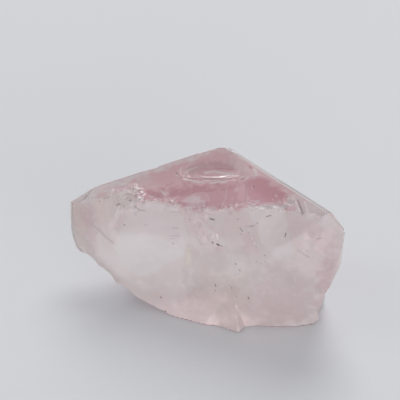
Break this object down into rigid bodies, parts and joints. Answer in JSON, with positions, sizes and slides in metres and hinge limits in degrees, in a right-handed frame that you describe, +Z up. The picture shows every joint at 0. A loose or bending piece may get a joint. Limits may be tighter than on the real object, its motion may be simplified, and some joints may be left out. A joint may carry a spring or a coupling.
{
  "type": "morganite crystal",
  "caption": "Rough piece of a pale pink six-sided gem crystal with a smooth end face, flat sides at the back and a shell-like broken front.",
  "frame": {"origin": "middle of the stone's box, on the surface that it rests on", "axes": "+Z up, +X along the length towards the tall end, -Y towards the broken front"},
  "size_m": [0.0432, 0.026, 0.0233],
  "materials": {
    "crystal": "clear to milky pale pink, glassy on the grown faces, satin on the breaks"
  },
  "bodies": {
    "root": {"crystal": "crystal"}
  },
  "joints": []
}
